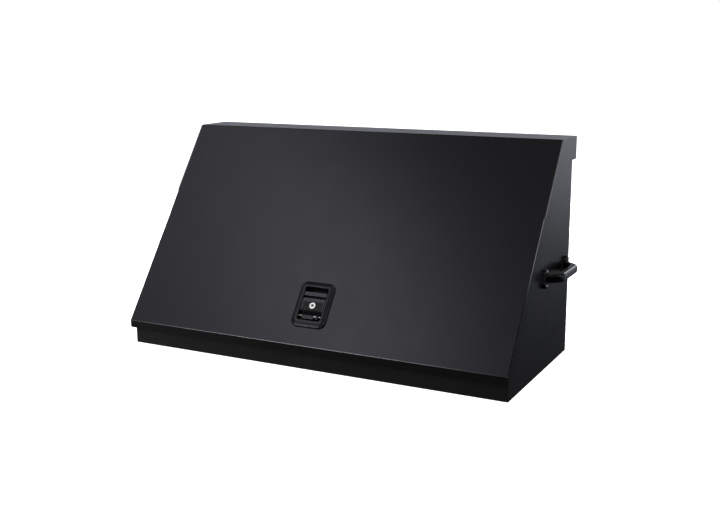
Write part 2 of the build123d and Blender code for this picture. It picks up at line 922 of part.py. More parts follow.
def latch_dish():
    """The bezel and the pan behind it, in one casting."""
    border = rounded(bezel_width, bezel_length, bezel_corner, bezel_centre_s)
    bezel = slab(border, gasket_thickness, bezel_rise)
    top = bezel.faces().sort_by(Axis.Z)[-1]
    bezel = chamfer(top.edges(), bezel_slope_run, bezel_slope_drop, reference=top)
    bezel = fillet(bezel.faces().sort_by(Axis.Z)[-1].edges(), bezel_crest_round)
    outer_h = bezel_rise - bezel_slope_drop
    outer = bezel.edges().filter_by(lambda edge: abs(edge.center().Z - outer_h) < near)
    bezel = fillet(outer, bezel_edge_round)
    wide = opening_width + 2 * dish_wall
    long = opening_length + 2 * dish_wall
    pan = rounded(wide, long, opening_corner + dish_wall, opening_centre_s)
    hollow = rounded(opening_width, opening_length, opening_corner, opening_centre_s)
    dish = bezel + slab(pan, dish_floor_h, gasket_thickness + cut_over) - slab(hollow, -dish_depth, margin)
    mouth = dish.edges().filter_by(lambda edge: abs(edge.center().Z - bezel_rise) < near)
    mouth = mouth.filter_by(lambda edge: abs(edge.center().X) < opening_width / 2 + near)
    mouth = mouth.filter_by(lambda edge: opening_low_s - near < edge.center().Y < opening_top_s + near)
    dish = fillet(mouth, opening_round)
    floor_top = cut_over - dish_depth
    low_s = paddle_bend_s - cut_over
    window = block(-window_half_x, window_half_x, low_s, window_top_s, -margin, floor_top)
    arm_gap = arm_half_x + arm_window_gap
    arm_window = block(-arm_gap, arm_gap, pivot_s - arm_width, paddle_bend_s, -margin, floor_top)
    dish = dish - window - arm_window
    for x, s in frame_screw_places():
        dish = dish + rod(frame_boss_radius, (x, s, dish_floor_h), (0, 0, 1), dish_wall + frame_boss_height)
    for x, s in frame_screw_places():
        bore_h = dish_floor_h - cut_over
        dish = dish - rod(frame_screw_radius, (x, s, bore_h), (0, 0, 1), frame_screw_grip + cut_over)
    for x, s in stud_places():
        root_h = gasket_thickness + cut_over
        dish = dish + rod(dish_stud_radius, (x, s, root_h), (0, 0, -1), dish_stud_length + cut_over)
    pin_half = opening_width / 2 + dish_wall
    dish = dish - cross_rod(paddle_pin_radius, -pin_half, pin_half, pivot_s, pivot_h)
    return on_panel(dish)


def latch_gasket():
    wide = bezel_width - 2 * gasket_inset
    long = bezel_length - 2 * gasket_inset
    outline = rounded(wide, long, bezel_corner - gasket_inset, bezel_centre_s)
    gasket = slab(outline - latch_cutout(), 0, gasket_thickness)
    for x, s in stud_places():
        gasket = gasket - Pos(x, s) * Cylinder(dish_stud_radius + hole_clearance, margin)
    return on_panel(gasket)


def latch_nuts():
    nuts = []
    for x, s in stud_places():
        flats = RegularPolygon(nut_half_flats, 6, major_radius=False)
        nut = slab(flats, -lid_sheet - nut_height, -lid_sheet)
        nuts.append(on_panel(Pos(x, s) * (nut - Cylinder(dish_stud_radius, 2 * margin))))
    return nuts


def paddle_pin():
    half = opening_width / 2 + dish_wall
    return on_panel(cross_rod(paddle_pin_radius, -half, half, pivot_s, pivot_h))


def latch_paddle():
    """The finger plate with its barrel, tail, lock housing and the arm that moves the bolt."""
    plate = prism(
        [
            (paddle_top_s, paddle_bar_h),
            (paddle_bar_s, paddle_bar_h),
            (paddle_bar_s, paddle_groove_h),
            (paddle_groove_s, paddle_groove_h),
            (paddle_groove_s, paddle_face_h),
            (paddle_bend_s, paddle_face_h),
            (paddle_bend_s, paddle_step_h),
            (pivot_s + paddle_barrel_radius, paddle_low_face_h),
            (pivot_s, paddle_low_face_h),
            (pivot_s, paddle_low_back_h),
            (paddle_bend_s, paddle_low_back_h),
            (paddle_bend_s + paddle_shoulder, paddle_back_h),
            (paddle_groove_s - 2 * paddle_rib_wall, paddle_back_h),
            (paddle_groove_s - paddle_rib_wall, paddle_groove_back_h),
            (paddle_bar_s + paddle_rib_wall, paddle_groove_back_h),
            (paddle_bar_s + 2 * paddle_rib_wall, paddle_back_h),
            (paddle_top_s, paddle_back_h),
        ],
        -paddle_half_width,
        paddle_half_width,
    )
    corner_s = pivot_s + paddle_barrel_radius + cut_over
    for x in both_sides(paddle_half_width - paddle_barrel_inset / 2):
        low_x = x - paddle_barrel_inset / 2
        plate = plate - block(low_x, low_x + paddle_barrel_inset, 0, corner_s, -margin, margin)
    barrel = cross_rod(paddle_barrel_radius, -paddle_barrel_half, paddle_barrel_half, pivot_s, pivot_h)
    tail_low = pivot_h - tail_sink
    tail_top = pivot_h + paddle_barrel_radius - tail_sink
    tail = block(-paddle_tail_half, paddle_tail_half, paddle_tail_s, pivot_s, tail_low, tail_top)
    arm_low_s = pivot_s - arm_width / 2
    arm_end = pivot_h - arm_length
    arm = block(-arm_half_x, arm_half_x, arm_low_s, arm_low_s + arm_width, arm_end, pivot_h)
    housing = rod(lock_housing_radius, (0, lock_s, paddle_back_h), (0, 0, -1), lock_housing_depth)
    notch_half = spring_half_width + spring_notch_clearance
    notch_low_s = paddle_tail_s - cut_over
    notch_high_s = pivot_s + spring_slot_gap
    notch = block(spring_x - notch_half, spring_x + notch_half, notch_low_s, notch_high_s, -margin, margin)
    leg_top = pivot_h - spring_coil_radius + spring_wire_radius + free_clearance
    rib_low_x = spring_x - spring_rib_half
    rib_low_s = paddle_bend_s + paddle_rib_wall
    rib = block(rib_low_x, spring_x + spring_rib_half, rib_low_s, spring_leg_s, leg_top, paddle_back_h)
    paddle = plate + barrel + tail + arm - notch + housing + rib
    paddle = paddle - Pos(0, lock_s) * Cylinder(lock_radius, 4 * margin)
    bore = paddle_pin_radius + running_clearance
    return on_panel(paddle - cross_rod(bore, -width, width, pivot_s, pivot_h))


def paddle_spring():
    """A torsion spring on the pin: a close coil, a leg on the dish and a leg under the paddle."""
    x0 = spring_x - spring_half_width
    x1 = spring_x + spring_half_width
    outer = spring_coil_radius + spring_wire_radius
    inner = spring_coil_radius - spring_wire_radius
    coil = cross_rod(outer, x0, x1, pivot_s, pivot_h) - cross_rod(inner, -width, width, pivot_s, pivot_h)
    leg_h = pivot_h - spring_coil_radius
    paddle_leg = rod(spring_wire_radius, (spring_x, pivot_s, leg_h), (0, 1, 0), spring_leg_s - pivot_s)
    dish_leg_s = pivot_s - spring_coil_radius
    dish_leg_start = (x1 - spring_wire_radius, dish_leg_s, pivot_h)
    dish_leg = rod(spring_wire_radius, dish_leg_start, (0, 0, -1), dish_depth + pivot_h)
    return on_panel(coil + paddle_leg + dish_leg)


def lock_barrel():
    top = paddle_face_h + lock_proud
    shell = rod(lock_radius, (0, lock_s, top - lock_length), (0, 0, 1), lock_length)
    rim = shell.faces().sort_by(Axis.Z)[-1].edges()
    shell = fillet(rim, lock_proud / 2)
    return on_panel(shell - Pos(0, lock_s) * Cylinder(plug_radius + running_clearance, 4 * margin))


def plug_end_h():
    return paddle_face_h + lock_proud - lock_length - free_clearance


def lock_plug():
    top = paddle_face_h + lock_proud - plug_recess
    end = plug_end_h()
    plug = rod(plug_radius, (0, lock_s, end), (0, 0, 1), top - end)
    slot = block(
        -keyway_width / 2,
        keyway_width / 2,
        lock_s - keyway_height / 2,
        lock_s + keyway_height / 2,
        top - keyway_depth,
        top + cut_over,
    )
    hole_start = end - cut_over
    screw_hole = rod(cam_screw_radius, (0, lock_s, hole_start), (0, 0, 1), cam_screw_length + cut_over)
    return on_panel(plug - slot - screw_hole)


def lock_cam():
    """A finger that points up the slope while the lock is open."""
    low = plug_end_h() - cam_thickness
    hub = rod(cam_hub_radius, (0, lock_s, low), (0, 0, 1), cam_thickness)
    finger = block(-cam_width / 2, cam_width / 2, lock_s, lock_s + cam_reach, low, low + cam_thickness)
    return on_panel(hub + finger - Pos(0, lock_s) * Cylinder(cam_screw_radius, 4 * margin))


def cam_screw():
    low = plug_end_h() - cam_thickness
    head = rod(cam_screw_head_radius, (0, lock_s, low), (0, 0, -1), cam_screw_head_height)
    shank = rod(cam_screw_radius, (0, lock_s, low), (0, 0, 1), cam_thickness + cam_screw_length)
    return on_panel(head + shank)


def striker_middle_s():
    """The middle of the front rim flange, where the rivets stand."""
    return front_rim_s + rim_width / 2


def bolt_hook_h():
    """The height of the bolt's hooking face, just below the striker."""
    return -(rim_depth + body_sheet + striker_thickness + bolt_hook_gap)


def latch_bolt():
    """A sliding plate: its tip hooks under the front rim, and its slot takes the paddle's arm."""
    half = frame_half - bolt_clearance
    plate = block(-half, half, bolt_tip_s, bolt_rear_s, bolt_bottom_h, bolt_top_h)
    bevel_s = bolt_tip_s + bolt_tip_bevel
    tip_points = [
        (bolt_tip_s, bolt_hook_h()),
        (bolt_tip_s + bolt_tip_length, bolt_hook_h()),
        (bolt_tip_s + bolt_tip_length, bolt_bottom_h),
        (bevel_s, bolt_bottom_h),
        (bolt_tip_s, bolt_bottom_h + bolt_tip_bevel),
    ]
    tip = prism(tip_points, -bolt_tip_half, bolt_tip_half)
    under_bevel = block(-half, half, bolt_tip_s, bevel_s, bolt_bottom_h, bolt_top_h)
    slot_half_s = arm_width / 2 + 3 * bolt_clearance
    slot_half_x = arm_half_x + bolt_clearance
    slot_low_s = pivot_s - slot_half_s
    slot_high_s = pivot_s + slot_half_s
    slot_low_h = bolt_bottom_h - cut_over
    slot = block(-slot_half_x, slot_half_x, slot_low_s, slot_high_s, slot_low_h, bolt_top_h + cut_over)
    return on_panel(plate - under_bevel + tip - slot)


def latch_frame():
    """A hat-shaped guide for the bolt, screwed under the dish."""
    web_out = frame_half + frame_sheet
    channel = block(-web_out, web_out, frame_start_s, frame_end_s, frame_bottom_h, dish_floor_h)
    open_s = frame_start_s - cut_over
    end_wall_s = frame_end_s - frame_sheet
    bottom_h = frame_bottom_h + frame_sheet
    inside = block(-frame_half, frame_half, open_s, end_wall_s, bottom_h, dish_floor_h + cut_over)
    seat_h = dish_floor_h - frame_sheet
    flanges = block(-frame_flange_end, frame_flange_end, frame_start_s, frame_end_s, seat_h, dish_floor_h)
    ahead = block(-width, width, open_s, frame_start_s + dish_wall, seat_h, dish_floor_h)
    frame = channel + flanges - inside - ahead
    for x, s in frame_screw_places():
        frame = frame - Pos(x, s) * Cylinder(frame_screw_radius + hole_clearance, 4 * margin)
    return on_panel(frame)


def latch_screws():
    screws = []
    seat = dish_floor_h - frame_sheet
    for x, s in frame_screw_places():
        head = rod(frame_screw_head_radius, (x, s, seat), (0, 0, -1), frame_screw_head_height)
        shank = rod(frame_screw_radius, (x, s, seat), (0, 0, 1), frame_sheet + frame_screw_grip)
        screws.append(on_panel(head + shank))
    return screws


def striker_plate():
    """A doubler under the front rim flange, where the bolt pulls."""
    top = -(rim_depth + body_sheet)
    start = front_rim_s + striker_setback
    low = top - striker_thickness
    plate = block(-striker_half_width, striker_half_width, start, front_rim_end_s, low, top)
    for x in both_sides(striker_rivet_x):
        plate = plate - Pos(x, striker_middle_s()) * Cylinder(rivet_radius, 4 * margin)
    return on_panel(plate)


def striker_rivets():
    """Flush above, where the seal lies, and headed below."""
    low = -(rim_depth + body_sheet + striker_thickness)
    rivets = []
    for x in both_sides(striker_rivet_x):
        place = (x, striker_middle_s(), low)
        shank = rod(rivet_radius, place, (0, 0, 1), body_sheet + striker_thickness)
        head = rod(rivet_head_radius, place, (0, 0, -1), rivet_head_height)
        rivets.append(on_panel(shank + head))
    return rivets


def main():
    os.makedirs("parts", exist_ok=True)
    save("lid_panel", lid_panel())
    save_pair("lid_cheek", [lid_cheek()])
    save_pair("lid_stiffener", [lid_stiffener(stiffener_x)])
    save("floor_pan", floor_pan())
    save("front_sill", front_sill())
    save("back_panel", back_panel())
    save_pair("side_wall", [side_wall()])
    save("weather_seal", weather_seal())
    save("tier_shelf", tier_shelf())
    save_pair("tier_end", [tier_end()])
    save_pair("side_handle", [side_handle()])
    save_pair("handle_screws", handle_screws())
    save_pair("handle_nut_plates", handle_nut_plates())
    save("hinge_leaf_body", hinge_leaf_body())
    save("hinge_leaf_lid", hinge_leaf_lid())
    save("hinge_pin", hinge_pin())
    save("hinge_rivets_body", *hinge_rivets_body())
    save("hinge_rivets_lid", *hinge_rivets_lid())
    save_pair("strut_bracket_body", [strut_bracket_body()])
    save_pair("strut_foot_socket", [strut_foot_socket()])
    save_pair("strut_cylinder", [strut_cylinder()])
    save_pair("strut_gland", [strut_gland()])
    save_pair("strut_rod", [strut_rod()])
    save_pair("strut_head_socket", [strut_head_socket()])
    save_pair("strut_bracket_lid", [strut_bracket_lid()])
    save("latch_dish", latch_dish())
    save("latch_gasket", latch_gasket())
    save("latch_nuts", *latch_nuts())
    save("latch_frame", latch_frame())
    save("latch_screws", *latch_screws())
    save("paddle_pin", paddle_pin())
    save("paddle_spring", paddle_spring())
    save("latch_paddle", latch_paddle())
    save("lock_barrel", lock_barrel())
    save("lock_plug", lock_plug())
    save("lock_cam", lock_cam())
    save("cam_screw", cam_screw())
    save("latch_bolt", latch_bolt())
    save("striker_plate", striker_plate())
    save("striker_rivets", *striker_rivets())


main()
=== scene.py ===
"""Slant-front steel tool box in satin black powder coat, on a pale studio floor."""

import json
import math

import bmesh
import bpy
from mathutils import Matrix, Vector


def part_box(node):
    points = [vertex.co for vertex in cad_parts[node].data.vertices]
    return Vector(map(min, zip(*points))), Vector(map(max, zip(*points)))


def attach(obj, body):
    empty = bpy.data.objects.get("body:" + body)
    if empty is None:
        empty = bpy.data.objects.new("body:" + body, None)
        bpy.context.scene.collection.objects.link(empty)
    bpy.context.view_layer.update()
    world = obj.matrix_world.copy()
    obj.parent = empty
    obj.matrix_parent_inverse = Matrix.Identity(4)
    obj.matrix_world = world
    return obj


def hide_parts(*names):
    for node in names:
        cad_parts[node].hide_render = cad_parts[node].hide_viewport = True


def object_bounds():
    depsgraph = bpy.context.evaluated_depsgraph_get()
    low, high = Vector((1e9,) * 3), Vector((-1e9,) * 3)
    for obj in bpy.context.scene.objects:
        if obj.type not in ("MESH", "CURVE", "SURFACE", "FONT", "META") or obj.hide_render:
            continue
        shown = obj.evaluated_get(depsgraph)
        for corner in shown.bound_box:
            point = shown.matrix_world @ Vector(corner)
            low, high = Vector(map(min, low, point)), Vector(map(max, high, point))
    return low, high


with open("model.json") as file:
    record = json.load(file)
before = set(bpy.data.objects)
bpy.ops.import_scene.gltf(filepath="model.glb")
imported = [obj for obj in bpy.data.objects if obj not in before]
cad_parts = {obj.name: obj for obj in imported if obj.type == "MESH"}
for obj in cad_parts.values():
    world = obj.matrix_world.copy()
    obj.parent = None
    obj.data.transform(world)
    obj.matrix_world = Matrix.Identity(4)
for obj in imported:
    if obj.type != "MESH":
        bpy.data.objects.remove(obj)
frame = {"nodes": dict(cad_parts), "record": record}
cad_low, cad_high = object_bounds()

MM = 0.001

# The camera, which looks across the right front corner
CAMERA_PLACE = (1.2116, -2.2499, 0.7878)
CAMERA_YAW = math.radians(-27.522)
CAMERA_PITCH = math.radians(-12.3546)
CAMERA_ROLL = math.radians(-0.307)
CAMERA_LENS = 51.326
SENSOR_WIDTH = 36.0
CAMERA_REACH = 60.0

# The box, from the frame: front lip plane, top, and the slope between the lip and the top
LIP_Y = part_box("lid_panel")[0].y
TOP_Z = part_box("lid_panel")[1].z
LIP_HEIGHT = 19.0 * MM
LIP_TOP_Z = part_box("lid_panel")[0].z + LIP_HEIGHT
TOP_DEPTH = 115.0 * MM
BACK_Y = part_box("lid_panel")[1].y
FOLD_Y = BACK_Y - TOP_DEPTH
SLOPE_LENGTH = math.hypot(FOLD_Y - LIP_Y, TOP_Z - LIP_TOP_Z)
UP_Y = (FOLD_Y - LIP_Y) / SLOPE_LENGTH
UP_Z = (TOP_Z - LIP_TOP_Z) / SLOPE_LENGTH
OUTWARD = Vector((0.0, -UP_Z, UP_Y))


def add_object(name, data):
    thing = bpy.data.objects.new(name, data)
    bpy.context.scene.collection.objects.link(thing)
    return thing


def mesh_data(name, mesh):
    """The data of a finished bmesh, which is freed."""
    data = bpy.data.meshes.new(name)
    mesh.to_mesh(data)
    mesh.free()
    return data


# Materials


class Paint:
    """A principled material, with short ways to make its noise, ramps and bumps."""

    def __init__(self, name):
        self.material = bpy.data.materials.new(name)
        self.material.use_nodes = True
        self.tree = self.material.node_tree
        self.shader = self.tree.nodes["Principled BSDF"]
        self.place = self.tree.nodes.new("ShaderNodeTexCoord").outputs["Object"]

    def set(self, **values):
        for name, value in values.items():
            self.shader.inputs[name.replace("_", " ")].default_value = value

    def link(self, output, name):
        self.tree.links.new(output, self.shader.inputs[name])

    def stretched(self, scale):
        """The place, scaled by its own amount on each axis."""
        node = self.tree.nodes.new("ShaderNodeMapping")
        node.inputs["Scale"].default_value = scale
        self.tree.links.new(self.place, node.inputs["Vector"])
        return node.outputs["Vector"]

    def noise(self, scale, detail=2.0, rough=0.5, vector=None):
        node = self.tree.nodes.new("ShaderNodeTexNoise")
        node.inputs["Scale"].default_value = scale
        node.inputs["Detail"].default_value = detail
        node.inputs["Roughness"].default_value = rough
        self.tree.links.new(vector or self.place, node.inputs["Vector"])
        return node.outputs["Fac"]

    def cells(self, scale, output="Distance"):
        node = self.tree.nodes.new("ShaderNodeTexVoronoi")
        node.inputs["Scale"].default_value = scale
        self.tree.links.new(self.place, node.inputs["Vector"])
        return node.outputs[output]

    def colours(self, factor, *stops):
        node = self.tree.nodes.new("ShaderNodeValToRGB")
        ramp = node.color_ramp
        for index, (at, colour) in enumerate(stops):
            stop = ramp.elements[index] if index < 2 else ramp.elements.new(at)
            stop.position = at
            stop.color = (*colour, 1.0)
        self.tree.links.new(factor, node.inputs["Fac"])
        return node.outputs["Color"]

    def span(self, factor, low, high, start=0.0, end=1.0):
        node = self.tree.nodes.new("ShaderNodeMapRange")
        node.inputs["From Min"].default_value = start
        node.inputs["From Max"].default_value = end
        node.inputs["To Min"].default_value = low
        node.inputs["To Max"].default_value = high
        self.tree.links.new(factor, node.inputs["Value"])
        return node.outputs["Result"]

    def maths(self, operation, *values):
        node = self.tree.nodes.new("ShaderNodeMath")
        node.operation = operation
        for value, socket in zip(values, node.inputs):
            self.tree.links.new(value, socket)
        return node.outputs["Value"]

    def sum(self, first, second):
        return self.maths("ADD", first, second)

    def product(self, first, second):
        return self.maths("MULTIPLY", first, second)

    def within(self, value, low, high, soft_step):
        """1 between two values and 0 outside them, with a soft step at both ends."""
        above = self.span(value, 0.0, 1.0, low - soft_step, low)
        below = self.span(value, 1.0, 0.0, high, high + soft_step)
        return self.product(above, below)

    def part(self, axis):
        """The place along one axis."""
        parts = self.tree.nodes.new("ShaderNodeSeparateXYZ")
        self.tree.links.new(self.place, parts.inputs["Vector"])
        return parts.outputs[axis]

    def apart(self, axis):
        """The distance from the middle plane of an axis."""
        return self.maths("ABSOLUTE", self.part(axis))

    def above_panel(self, low, high):
        """From 0 to 1 between two heights above the lid panel's face."""
        face = OUTWARD.dot(Vector((0.0, LIP_Y, LIP_TOP_Z)))
        node = self.tree.nodes.new("ShaderNodeVectorMath")
        node.operation = "DOT_PRODUCT"
        node.inputs[1].default_value = OUTWARD
        self.tree.links.new(self.place, node.inputs[0])
        return self.span(node.outputs["Value"], 0.0, 1.0, face + low, face + high)

    def diamonds(self, turn, scale, axes, half_pitch):
        """Small pyramids in rows along two axes of the scaled and turned place."""
        turned = self.tree.nodes.new("ShaderNodeMapping")
        turned.inputs["Rotation"].default_value = turn
        turned.inputs["Scale"].default_value = scale
        self.tree.links.new(self.place, turned.inputs["Vector"])
        parts = self.tree.nodes.new("ShaderNodeSeparateXYZ")
        self.tree.links.new(turned.outputs["Vector"], parts.inputs["Vector"])
        ridges = []
        for axis in axes:
            wave = self.tree.nodes.new("ShaderNodeMath")
            wave.operation = "PINGPONG"
            wave.inputs[1].default_value = half_pitch
            self.tree.links.new(parts.outputs[axis], wave.inputs[0])
            ridges.append(self.span(wave.outputs["Value"], 0.0, 1.0, 0.0, half_pitch))
        return self.product(*ridges)

    def painted_shade_inside(self, low, high):
        """Painted shade down inside the latch: fewer reflections below two heights above the panel.
        """
        level = self.span(self.above_panel(low, high), INSIDE_SHADE_SPECULAR, OUTSIDE_SPECULAR)
        self.link(level, "Specular IOR Level")

    def bump(self, height, depth, strength):
        """Raises the surface by up to depth metres, on top of the bumps already made."""
        node = self.tree.nodes.new("ShaderNodeBump")
        node.inputs["Strength"].default_value = strength
        node.inputs["Distance"].default_value = depth
        self.tree.links.new(height, node.inputs["Height"])
        if self.shader.inputs["Normal"].is_linked:
            before = self.shader.inputs["Normal"].links[0].from_socket
            self.tree.links.new(before, node.inputs["Normal"])
        self.link(node.outputs["Normal"], "Normal")


# Where light and shade are painted on the lid's coat: a painted highlight in a band round the fold
# above the lip, and on the side edges painted shade low down that turns to a painted highlight
# between two heights
FOLD_BELOW = 0.9 * MM
FOLD_ABOVE = 0.7 * MM
SIDE_EDGE = 1.5 * MM
EDGE_SHADE_TO_HIGHLIGHT_HEIGHTS = (0.2, 0.28)
SOFT_STEP = 0.1 * MM

# The diamonds on the handle, which cover the end of its reach
GRIP_HALF_PITCH = 1.4 * MM
GRIP_DEPTH = 0.8 * MM
GRIP_START = 2.4 * MM
GRIP_FULL = 1.4 * MM

# The diamonds on the paddle's plate, by their place up the slope from the lip
PAD_HALF_PITCH = 1.3 * MM
PAD_DEPTH = 0.45 * MM
PAD_HALF_WIDTH = 26.5 * MM
PAD_LOW = 93.0 * MM
PAD_HIGH = 115.0 * MM
PAD_SOFT_STEP = 1.0 * MM

# Reflection levels for the painted shade inside the latch, and for its open faces
INSIDE_SHADE_SPECULAR = 0.06
OUTSIDE_SPECULAR = 0.5

# The dark and light black of each finish
# The body's coat is the lid's paint, painted about three times lighter to stand in for light on the
# body, most of all inside the opened box
LIT_BODY_BLACKS = (0.0085, 0.0085, 0.009), (0.012, 0.012, 0.0128)
LID_BLACKS = (0.0028, 0.0028, 0.0031), (0.0042, 0.0042, 0.0047)
DEEP_BLACKS = (0.003, 0.003, 0.0033), (0.006, 0.006, 0.0066)
DISH_BLACKS = (0.003, 0.003, 0.0033), (0.0055, 0.0055, 0.006)
TUBE_BLACKS = (0.008, 0.008, 0.008), (0.014, 0.014, 0.014)


def powder_coat(name, dark, light, smooth, coarse):
    """Sprayed and baked black: a fine orange peel, faint cloudiness and small rubbed patches."""
    paint = Paint(name)
    cloud = paint.product(paint.noise(9.0, 4.0, 0.6), paint.noise(1400.0, 2.0))
    paint.link(paint.colours(cloud, (0.15, dark), (0.42, light)), "Base Color")
    rubbed = paint.noise(14.0, 5.0, 0.6)
    paint.link(paint.span(rubbed, smooth, coarse, 0.3, 0.7), "Roughness")
    paint.bump(paint.noise(520.0, 3.0), 0.03 * MM, 0.3)
    paint.bump(paint.noise(3.2, 1.0), 1.2 * MM, 0.05)
    return paint


def lid_coat_with_painted_light(name, dark, light, smooth, coarse):
    """Powder coat with a painted highlight round the fold above the lip and on the lid's side
    edges.

    Low on the side edges it reflects nothing, which paints a dark line of shade as if cast by the
    wall.
    """
    paint = powder_coat(name, dark, light, smooth, coarse)
    height = paint.part("Z")
    # The fold band: sharper and more reflective, a painted highlight along the bend
    fold = paint.within(height, LIP_TOP_Z - FOLD_BELOW, LIP_TOP_Z + FOLD_ABOVE, SOFT_STEP)
    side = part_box("lid_panel")[1].x - SIDE_EDGE
    outer = paint.span(paint.apart("X"), 0.0, 1.0, side - SOFT_STEP, side)
    edge = paint.product(outer, paint.above_panel(-SIDE_EDGE - SOFT_STEP, -SIDE_EDGE))
    rough = paint.shader.inputs["Roughness"].links[0].from_socket
    rough = paint.product(rough, paint.span(fold, 1.0, 0.3))
    rough = paint.product(rough, paint.span(edge, 1.0, 0.5))
    paint.link(rough, "Roughness")
    # Side edges: reflection turned off low down (painted shade) and raised higher up (painted
    # highlight)
    edge_shade_to_highlight = paint.span(height, -0.5, 1.6, *EDGE_SHADE_TO_HIGHLIGHT_HEIGHTS)
    ior = paint.sum(paint.span(fold, 1.5, 2.4), paint.product(edge, edge_shade_to_highlight))
    paint.link(ior, "IOR")
    return paint


def gloss_black(name, dark, light, smooth, coarse):
    """Glossy black paint or casting, with a slight ripple."""
    paint = Paint(name)
    paint.link(paint.colours(paint.noise(60.0, 4.0), (0.3, dark), (0.7, light)), "Base Color")
    paint.link(paint.span(paint.noise(140.0, 4.0), smooth, coarse, 0.3, 0.7), "Roughness")
    paint.bump(paint.noise(300.0, 2.0), 0.05 * MM, 0.5)
    return paint


def grip_black(name):
    """The handle's coating, with a diamond grip moulded along the bar's outer face."""
    paint = gloss_black(name, *DEEP_BLACKS, 0.12, 0.18)
    turn = (math.radians(45.0), 0.0, 0.0)
    grip = paint.diamonds(turn, (1.0, 0.35, 1.0), ("Y", "Z"), GRIP_HALF_PITCH)
    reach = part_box("side_handle_right")[1].x
    outer = paint.span(paint.apart("X"), 0.0, 1.0, reach - GRIP_START, reach - GRIP_FULL)
    paint.bump(paint.product(grip, outer), GRIP_DEPTH, 1.0)
    return paint


def paddle_black(name):
    """Glossy casting, with a pad of fine diamonds on the plate around the lock, and painted shade
    (fewer reflections) in its low grooves.
    """
    paint = gloss_black(name, *DEEP_BLACKS, 0.22, 0.28)
    turn = (-math.atan2(UP_Z, UP_Y), 0.0, math.radians(45.0))
    pad = paint.diamonds(turn, (1.0, 1.0, 1.0), ("X", "Y"), PAD_HALF_PITCH)
    across = paint.within(paint.part("X"), -PAD_HALF_WIDTH, PAD_HALF_WIDTH, PAD_SOFT_STEP)
    low = LIP_TOP_Z + PAD_LOW * UP_Z
    high = LIP_TOP_Z + PAD_HIGH * UP_Z
    inside = paint.product(across, paint.within(paint.part("Z"), low, high, PAD_SOFT_STEP))
    paint.bump(paint.product(pad, inside), PAD_DEPTH, 1.0)
    paint.painted_shade_inside(-1.0 * MM, 2.0 * MM)
    return paint


def dish_black(name):
    """Glossy casting, with painted shade (fewer reflections) down inside the finger recess."""
    paint = gloss_black(name, *DISH_BLACKS, 0.26, 0.32)
    paint.painted_shade_inside(-2.0 * MM, 0.5 * MM)
    return paint


def rubber(name, grain):
    """Matte black rubber with fine pores."""
    paint = Paint(name)
    blotch = paint.noise(grain, 4.0)
    stops = (0.3, (0.008, 0.008, 0.008)), (0.7, (0.017, 0.017, 0.016))
    paint.link(paint.colours(blotch, *stops), "Base Color")
    paint.link(paint.span(paint.noise(grain * 2.0, 3.0), 0.62, 0.85), "Roughness")
    paint.bump(paint.cells(grain * 3.0), 0.15 * MM, 0.6)
    paint.set(Sheen_Weight=0.08, Sheen_Roughness=0.5)
    return paint


def plated_steel(name, dark, light, smooth, coarse):
    """Zinc plating, with its patches of crystals and a faint drawing grain."""
    paint = Paint(name)
    patch = paint.cells(260.0, output="Color")
    grey = paint.tree.nodes.new("ShaderNodeRGBToBW")
    paint.tree.links.new(patch, grey.inputs["Color"])
    paint.link(paint.colours(grey.outputs["Val"], (0.1, dark), (0.9, light)), "Base Color")
    grain = paint.noise(40.0, 5.0, 0.6, paint.stretched((0.6, 30.0, 30.0)))
    paint.link(paint.span(grain, smooth, coarse, 0.3, 0.7), "Roughness")
    paint.bump(grain, 0.03 * MM, 0.5)
    paint.set(Metallic=1.0)
    return paint


def turned_metal(name, dark, light, smooth, coarse):
    """Turned and polished metal, with fine lathe lines."""
    paint = Paint(name)
    lines = paint.noise(900.0, 2.0, 0.5, paint.stretched((1.0, 0.2, 1.0)))
    paint.link(paint.colours(lines, (0.35, dark), (0.65, light)), "Base Color")
    paint.link(paint.span(paint.noise(120.0, 4.0), smooth, coarse, 0.3, 0.7), "Roughness")
    paint.bump(lines, 0.01 * MM, 0.4)
    paint.set(Metallic=1.0)
    return paint


def moulded_plastic(name):
    """Moulded plastic with a fine matte grain."""
    paint = Paint(name)
    stops = (0.3, (0.018, 0.018, 0.018)), (0.7, (0.03, 0.03, 0.031))
    paint.link(paint.colours(paint.noise(70.0, 3.0), *stops), "Base Color")
    paint.link(paint.span(paint.noise(400.0, 3.0), 0.42, 0.58), "Roughness")
    paint.bump(paint.noise(1100.0, 2.0), 0.04 * MM, 0.6)
    return paint


MATERIALS = {
    "body_paint": powder_coat("body_powder_coat", *LIT_BODY_BLACKS, 0.26, 0.28),
    "lid_paint": lid_coat_with_painted_light("lid_coat_with_painted_light", *LID_BLACKS, 0.25, 0.27),
    "seal": rubber("seal_rubber", 500.0),
    "gasket": rubber("gasket_rubber", 800.0),
    "handle": grip_black("handle_coating"),
    "black_screws": turned_metal("dark_zinc", (0.3, 0.3, 0.31), (0.44, 0.44, 0.45), 0.16, 0.24),
    "zinc_steel": plated_steel("zinc_plate", (0.42, 0.43, 0.44), (0.6, 0.61, 0.6), 0.3, 0.42),
    "hinge_steel": powder_coat("hinge_powder_coat", *DEEP_BLACKS, 0.28, 0.36),
    "latch_dish": dish_black("dish_casting"),
    "paddle": paddle_black("paddle_casting"),
    "bright_pin": turned_metal("bright_steel", (0.36, 0.36, 0.35), (0.5, 0.5, 0.48), 0.24, 0.34),
    "lock_chrome": turned_metal("lock_nickel", (0.68, 0.67, 0.58), (0.84, 0.83, 0.72), 0.18, 0.26),
    "lock_face": turned_metal("lock_face_nickel", (0.3, 0.3, 0.26), (0.42, 0.41, 0.36), 0.24, 0.34),
    "strut_tube": gloss_black("tube_gloss_paint", *TUBE_BLACKS, 0.16, 0.24),
    "strut_rod": turned_metal("rod_chrome", (0.68, 0.68, 0.69), (0.82, 0.82, 0.83), 0.08, 0.14),
    "strut_plastic": moulded_plastic("moulded_nylon"),
}


